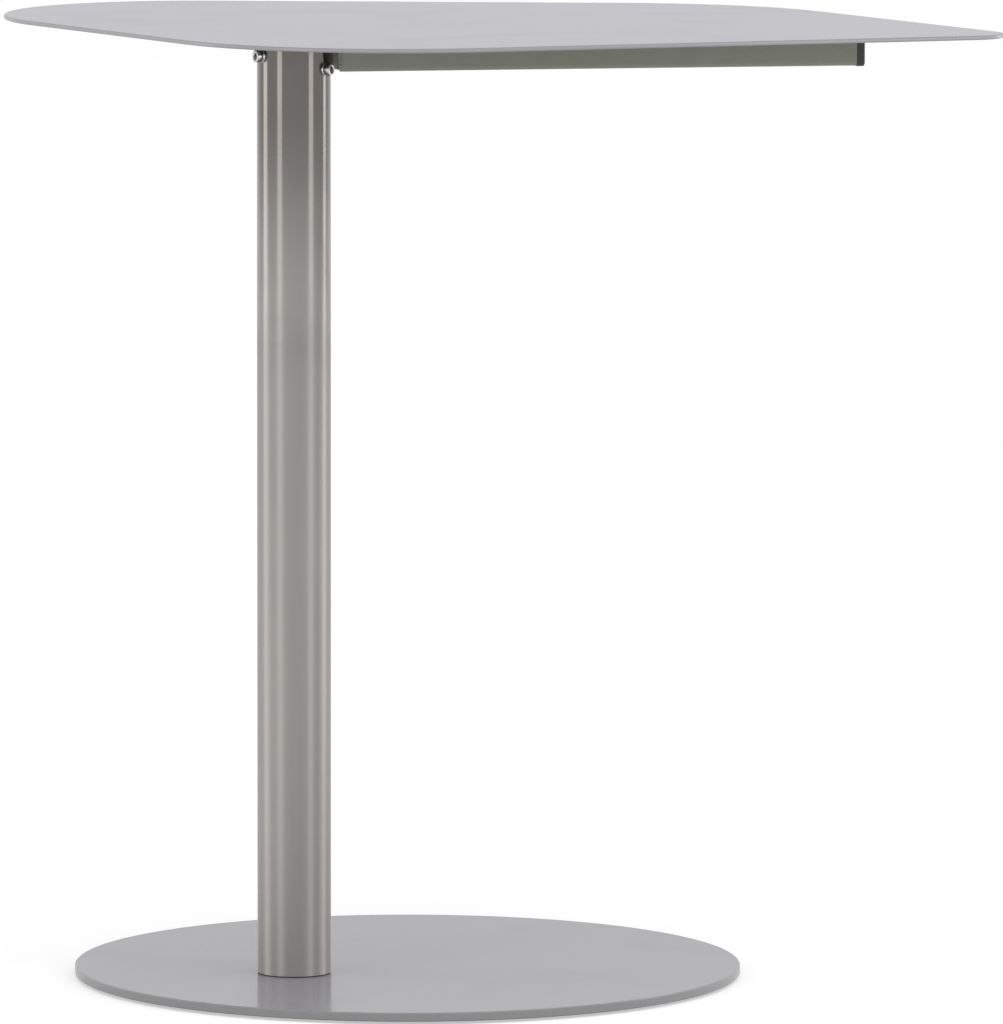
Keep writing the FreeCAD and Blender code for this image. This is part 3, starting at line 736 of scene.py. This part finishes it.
clampScrew = {
    "count": 3,
    "firstAngle": 178.5,  # degrees about the column
    "angleStep": -120.0,
    "firstHeight": 0.634,
    "heightStep": -0.0045,
    "tip": 0.0183,  # tip, seat and face are measured from the column's axis
    "seat": 0.0255,
    "face": 0.0300,
    "shankDiameter": 0.005,
    "tipShare": 0.55,  # the blunt tip and its chamfer, as shares of the shank
    "chamferShare": 0.80,
    "chamferLength": 0.0006,
    "threadStart": 0.0008,  # from the tip
    "plainLength": 0.0016,  # of the shank, at its two ends together
    "pitch": 0.001,
    "crestShare": 0.45,  # of the pitch
    "rootShare": 0.82,  # of the shank
    "neck": (0.0007, 0.0003),  # where the thread ends and the full shank begins, below the seat
    "headDiameter": 0.0085,
    "headFoot": ((0.0005, 0.0), (0.0001, 0.0002), (0.0, 0.0005)),  # in from the side, up from the seat
    "headRound": 0.0007,
    "roundSteps": 6,
    "socketFlats": 0.004,
    "socketDepth": 0.0025,
    "leadIn": ((0.00045, 0.0), (0.0002, 0.0001)),  # out from the hexagon's corners, down from the face
    "leadInDepth": 0.0005,
    "drillShare": 0.5,  # of half the flats
    "drillPoint": 0.0005,
    "steps": 96,
    "sharpAngle": 32.0,
}
saddleWasher = {
    "diameter": 0.0090,
    "holeClearance": 0.0002,
    "tubeRadius": 0.025,
    "tubeGap": 0.00003,
    "headGap": 0.00002,
    "footRound": 0.0001,
    "shoulder": ((0.0001, 0.00025), (0.0004, 0.0)),  # in from the rim, down from the flat
    "sharpAngle": 35.0,
}


def standing(ring, x):
    # a flat ring stood across the screw's axis, local X
    return [(x, y, z) for y, z in ring]


def makeScrewMaster(look):
    steps = look["steps"]
    head, shank, half = look["headDiameter"] / 2, look["shankDiameter"] / 2, look["socketFlats"] / 2
    tip, seat, face = look["tip"], look["seat"], look["face"]
    root, pitch, edge = shank * look["rootShare"], look["pitch"], look["headRound"]
    profile = [(shank * look["tipShare"], tip), (shank * look["chamferShare"], tip + look["chamferLength"])]
    for turn in range(int((seat - tip - look["plainLength"]) / pitch)):
        x = tip + look["threadStart"] + turn * pitch
        profile += [(root, x), (shank, x + pitch * look["crestShare"])]
    neckStart, neckEnd = look["neck"]
    profile += [(root, seat - neckStart), (shank, seat - neckEnd), (shank, seat)]
    profile += [(head - inward, seat + up) for inward, up in look["headFoot"]]
    for i in range(look["roundSteps"] + 1):
        angle = math.pi / 2 * i / look["roundSteps"]
        profile.append((head - edge * (1 - math.cos(angle)), face - edge * (1 - math.sin(angle))))
    corner = half / math.cos(math.pi / 6)
    profile += [(corner + outward, face - down) for outward, down in look["leadIn"]]
    rings = [standing(circleRing(radius, steps), x) for radius, x in profile]
    for depth in (look["leadInDepth"], look["socketDepth"]):
        rings.append(standing(hexRing(look["socketFlats"], steps), face - depth))
    drilled = face - look["socketDepth"] - look["drillPoint"]
    rings.append(standing(circleRing(half * look["drillShare"], steps), drilled))
    return loftRings("screwMaster", rings, True, look["sharpAngle"])


def makeWasherMaster(look, screw):
    # a saddle washer: its under side follows the round tube and its top is flat
    steps = screw["steps"]
    hole, rim = screw["shankDiameter"] / 2 + look["holeClearance"], look["diameter"] / 2
    upper = screw["seat"] - look["headGap"]

    def saddle(radius):
        ring = circleRing(radius, steps)
        return [(math.sqrt(look["tubeRadius"] ** 2 - y * y) + look["tubeGap"], y, z) for y, z in ring]

    rings = [saddle(radius) for radius in (hole, (hole + rim) / 2, rim - look["footRound"], rim)]
    for inward, down in look["shoulder"]:
        rings.append(standing(circleRing(rim - inward, steps), upper - down))
    rings += [standing(circleRing(hole, steps), upper), saddle(hole)]
    return loftRings("washerMaster", rings, False, look["sharpAngle"])


def makeRingTree():
    # stands copies of one master round the column, turning and dropping by a fixed step
    tree, gin, gout = newShapeTree("screwRing", {
        "Master": "Object", "Count": "Int", "First Angle": "Float", "Angle Step": "Float",
        "First Height": "Float", "Height Step": "Float", "Axis": "Vector", "Material": "Material"})
    index = tree.nodes.new("GeometryNodeInputIndex").outputs[0]
    height = mathNode(tree, "MULTIPLY_ADD", index, gin.outputs["Height Step"], gin.outputs["First Height"])
    angle = mathNode(tree, "MULTIPLY_ADD", index, gin.outputs["Angle Step"], gin.outputs["First Angle"])
    spot = placeAbove(tree, gin.outputs["Axis"], height)
    points = addNode(tree, "GeometryNodePoints", {"Count": gin.outputs["Count"], "Position": spot})
    spin = addNode(tree, "ShaderNodeCombineXYZ", {"Z": angle})
    source = addNode(tree, "GeometryNodeObjectInfo", {"Object": gin.outputs["Master"]})
    copies = addNode(tree, "GeometryNodeInstanceOnPoints", {
        "Points": points.outputs[0], "Instance": source.outputs["Geometry"]})
    turned = addNode(tree, "GeometryNodeRotateInstances", {
        "Instances": copies.outputs[0], "Rotation": spin.outputs[0]})
    closeShapeTree(tree, turned.outputs[0], gin, gout)
    return tree


def standRound(name, mesh, tree, look):
    master = addObject(mesh.name, mesh)
    piece = growPiece(name, tree, {
        "Master": master,
        "Count": look["count"],
        "First Angle": math.radians(look["firstAngle"]),
        "Angle Step": math.radians(look["angleStep"]),
        "First Height": look["firstHeight"],
        "Height Step": look["heightStep"],
        "Axis": tuple(columnAxis),
        "Material": screwSteel,
    })
    bpy.data.objects.remove(master)
    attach(piece, "stand")
    return piece


ringTree = makeRingTree()
screws = standRound("clampScrewSet", makeScrewMaster(clampScrew), ringTree, clampScrew)
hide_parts("clamp_screws")
washers = standRound("saddleWashers", makeWasherMaster(saddleWasher, clampScrew), ringTree, clampScrew)
print("clamp screws built:", len(screws.data.polygons), "faces")


# weld beads: under the head plate, along the arms and round their coped ends

weldBead = {
    "radius": 0.0013,
    "sides": 12,
    "swell": 0.9,
    "ripple": 0.16,
    "unevenness": 0.06,
    "ripplePitch": 0.0019,
    "stepShare": 0.2,  # of the ripple's pitch, between two points of the path
    "wander": 0.00018,
    "seed": 7,
    "seamHeight": 0.640,
    "seamStart": 0.0385,  # from the column's axis, like the seam's end
    "seamEnd": 0.0975,
    "armHalf": 0.015,
    "copeRadius": 0.032,
    "copeInset": 0.003,  # the curved seam stops this far from the arm's sides
    "copeSteps": 16,
    "cornerGap": 0.0004,
    "cornerFoot": 0.6250,
}


def makeBeadTree(look):
    tree, gin, gout = newShapeTree("weldBead", {
        "Path": "Geometry", "Bead Radius": "Float", "Ripple": "Float", "Ripple Pitch": "Float",
        "Wander": "Float", "Seed": "Int", "Material": "Material"})
    pitch, seed = gin.outputs["Ripple Pitch"], gin.outputs["Seed"]
    spacing = mathNode(tree, "MULTIPLY", pitch, look["stepShare"])
    fine = addNode(tree, "GeometryNodeResampleCurve", {
        "Curve": gin.outputs["Path"], "Length": spacing}, mode="LENGTH")
    along = tree.nodes.new("GeometryNodeSplineParameter").outputs["Length"]
    phase = mathNode(tree, "MULTIPLY", mathNode(tree, "DIVIDE", along, pitch), math.pi)
    wave = mathNode(tree, "ABSOLUTE", mathNode(tree, "SINE", phase))
    random = addNode(tree, "FunctionNodeRandomValue", {"Seed": seed}, data_type="FLOAT")
    swell = mathNode(tree, "MULTIPLY_ADD", wave, gin.outputs["Ripple"], look["swell"])
    swell = mathNode(tree, "MULTIPLY_ADD", random.outputs["Value"], look["unevenness"], swell)
    swollen = addNode(tree, "GeometryNodeSetCurveRadius", {
        "Curve": fine.outputs[0], "Radius": mathNode(tree, "MULTIPLY", swell, gin.outputs["Bead Radius"])})
    jitter = addNode(tree, "FunctionNodeRandomValue", {"Seed": seed}, data_type="FLOAT_VECTOR")
    jitter.inputs[0].default_value = (-1, -1, -1)
    shift = addNode(tree, "ShaderNodeVectorMath", {0: jitter.outputs[0], "Scale": gin.outputs["Wander"]},
                    operation="SCALE")
    wandered = addNode(tree, "GeometryNodeSetPosition", {
        "Geometry": swollen.outputs[0], "Offset": shift.outputs[0]})
    profile = addNode(tree, "GeometryNodeCurvePrimitiveCircle", {"Resolution": look["sides"], "Radius": 1.0})
    bead = addNode(tree, "GeometryNodeCurveToMesh", {
        "Curve": wandered.outputs[0],
        "Profile Curve": profile.outputs[0],
        "Scale": tree.nodes.new("GeometryNodeInputRadius").outputs[0],
        "Fill Caps": True,
    })
    closeShapeTree(tree, bead.outputs[0], gin, gout)
    return tree


def weldPaths(look):
    # every seam as a list of points; the side arm's near side has none
    z, half, cope = look["seamHeight"], look["armHalf"], look["copeRadius"]
    reach = math.asin((half - look["copeInset"]) / cope)
    angles = [-reach + 2 * reach * i / look["copeSteps"] for i in range(look["copeSteps"] + 1)]
    arc = [(cope * math.cos(a), cope * math.sin(a), z) for a in angles]
    corner = math.sqrt((cope + look["cornerGap"]) ** 2 - half ** 2)
    uprights = [[(corner, side * half, look["cornerFoot"]), (corner, side * half, z)] for side in (1, -1)]
    paths = []
    for turn, sides in ((topTurn, (1,)), (rearTurn, (1, -1))):
        spin = Matrix.Rotation(turn, 4, "Z")
        lines = [[(look["seamStart"], side * half, z), (look["seamEnd"], side * half, z)] for side in sides]
        for line in lines + uprights + [arc]:
            paths.append([columnAxis + spin @ Vector(point) for point in line])
    return paths


def drawSeams(name, paths):
    curve = bpy.data.curves.new(name, "CURVE")
    curve.dimensions = "3D"
    for path in paths:
        spline = curve.splines.new("POLY")
        spline.points.add(len(path) - 1)
        for point, spot in zip(spline.points, path):
            point.co = (*spot, 1.0)
    return curve


seams = drawSeams("weldPaths", weldPaths(weldBead))
beads = growPiece("weldBeads", makeBeadTree(weldBead), {
    "Bead Radius": weldBead["radius"],
    "Ripple": weldBead["ripple"],
    "Ripple Pitch": weldBead["ripplePitch"],
    "Wander": weldBead["wander"],
    "Seed": weldBead["seed"],
    "Material": platePaint,
}, seams)
beads.data.shade_smooth()
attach(beads, "top")
print("weld beads built:", len(beads.data.polygons), "faces")


# studio: pale floor, soft overhead light and four tall strips round the column

studio = {
    "towardCamera": (-0.5225, -0.8526),
    "stripAngles": (-98.0, -44.0, 56.0, 111.0),  # degrees from the camera's side, to its right
    "stripPower": (8.0, 6.8, 6.88, 8.4),  # watts for each square metre of lamp
    "stripWidth": 0.33,
    "stripHeight": 0.85,
    "stripFoot": 0.25,
    "stripDistance": 1.25,
    "overheadLight": 1.15,  # a broad soft lamp, the same all over the floor
    "overheadSpread": 75.0,
    "overheadPlace": (0.4, -0.6, 3.0),
    "ambient": 0.52,
}
studioFloor = {
    "radius": 14.0,
    "sides": 128,
    "tone": 0.56,
    "toneSpread": 0.02,
    "glow": 0.50,
    "bounce": 0.62,  # the floor as the object is lit by it
    "grainsPerMetre": 90.0,
    "mottlesPerMetre": 2.0,
}


def aimAt(obj, target):
    obj.rotation_euler = (Vector(target) - obj.location).to_track_quat("-Z", "Y").to_euler()


def addStrip(name, direction, power):
    width, height = studio["stripWidth"], studio["stripHeight"]
    lamp = bpy.data.lights.new(name, "AREA")
    lamp.shape = "RECTANGLE"
    lamp.size, lamp.size_y = width, height
    lamp.energy = power * width * height
    strip = addObject(name, lamp)
    middle = Vector((0, 0, height / 2 + studio["stripFoot"]))
    strip.location = columnAxis + direction * studio["stripDistance"] + middle
    aimAt(strip, columnAxis + middle)
    strip.visible_camera = False


def addOverhead():
    lamp = bpy.data.lights.new("overhead", "SUN")
    lamp.energy = studio["overheadLight"]
    lamp.angle = math.radians(studio["overheadSpread"])
    overhead = addObject("overhead", lamp)
    overhead.location = studio["overheadPlace"]
    aimAt(overhead, (0.0, 0.0, 0.0))
    overhead.visible_camera = False
    overhead.visible_glossy = False


def seenMask(tree):
    # 1 for what the camera sees, straight or in a shiny or clear surface
    path = tree.nodes.new("ShaderNodeLightPath")
    shiny = mathNode(tree, "MAXIMUM", path.outputs["Is Glossy Ray"], path.outputs["Is Transmission Ray"])
    return mathNode(tree, "MAXIMUM", path.outputs["Is Camera Ray"], shiny)


def makeFloor(look):
    material = bpy.data.materials.new("studioFloor")
    material.use_nodes = True
    tree = material.node_tree
    tree.nodes.clear()
    grain = useGroup(tree, grainGroup, {
        "Position": tree.nodes.new("ShaderNodeTexCoord").outputs["Object"],
        "Grains per Metre": look["grainsPerMetre"],
        "Mottles per Metre": look["mottlesPerMetre"],
    })
    tone = mixColor(tree, grain["Mottle"], (look["tone"],) * 3, (look["tone"] + look["toneSpread"],) * 3)
    matt = addNode(tree, "ShaderNodeBsdfDiffuse", {"Color": tone})
    glow = addNode(tree, "ShaderNodeEmission", {"Color": (1, 1, 1, 1), "Strength": look["glow"]})
    seen = addNode(tree, "ShaderNodeAddShader", {0: matt.outputs[0], 1: glow.outputs[0]})
    bounce = addNode(tree, "ShaderNodeBsdfDiffuse", {"Color": (*(look["bounce"],) * 3, 1)})
    final = addNode(tree, "ShaderNodeMixShader", {
        0: seenMask(tree), 1: bounce.outputs[0], 2: seen.outputs[0]})
    out = tree.nodes.new("ShaderNodeOutputMaterial")
    tree.links.new(final.outputs[0], out.inputs[0])
    bpy.ops.mesh.primitive_circle_add(
        vertices=look["sides"], radius=look["radius"], fill_type="NGON", location=(0, 0, 0))
    floor = bpy.context.object
    floor.name = "studioFloor"
    floor.data.materials.append(material)


def makeWorld():
    world = bpy.data.worlds.new("paleStudio")
    bpy.context.scene.world = world
    world.use_nodes = True
    tree = world.node_tree
    tree.nodes.clear()
    colour = mixColor(tree, seenMask(tree), (studio["ambient"],) * 3, (1.0, 1.0, 1.0))
    sky = addNode(tree, "ShaderNodeBackground", {"Color": colour, "Strength": 1.0})
    out = tree.nodes.new("ShaderNodeOutputWorld")
    tree.links.new(sky.outputs[0], out.inputs[0])


back = Vector((*studio["towardCamera"], 0.0))
right = Vector((-back.y, back.x, 0.0))
for number, (angle, power) in enumerate(zip(studio["stripAngles"], studio["stripPower"]), 1):
    around = math.radians(angle)
    addStrip(f"strip{number}", back * math.cos(around) + right * math.sin(around), power)
addOverhead()
makeFloor(studioFloor)
makeWorld()
print("studio built")


# camera at the photograph's place

view = {
    "spot": (-4.29302, -7.12820, 1.2548),
    "turn": 31.4895,  # degrees clockwise from +Y
    "tilt": 6.4216,  # degrees down
    "roll": -0.08,  # degrees, a slight lean of the photo
    "lens": 431.9,  # millimetres, as the sensor
    "sensor": 36.0,
    "clip": (0.1, 60.0),
}
cameraData = bpy.data.cameras.new("photoCamera")
cameraData.sensor_width = view["sensor"]
cameraData.lens = view["lens"]
cameraData.clip_start, cameraData.clip_end = view["clip"]
camera = addObject("photoCamera", cameraData)
camera.location = view["spot"]
camera.rotation_euler = tuple(math.radians(a) for a in (90 - view["tilt"], view["roll"], -view["turn"]))
bpy.context.scene.camera = camera
bpy.context.scene.view_settings.view_transform = "Standard"
print("camera set")
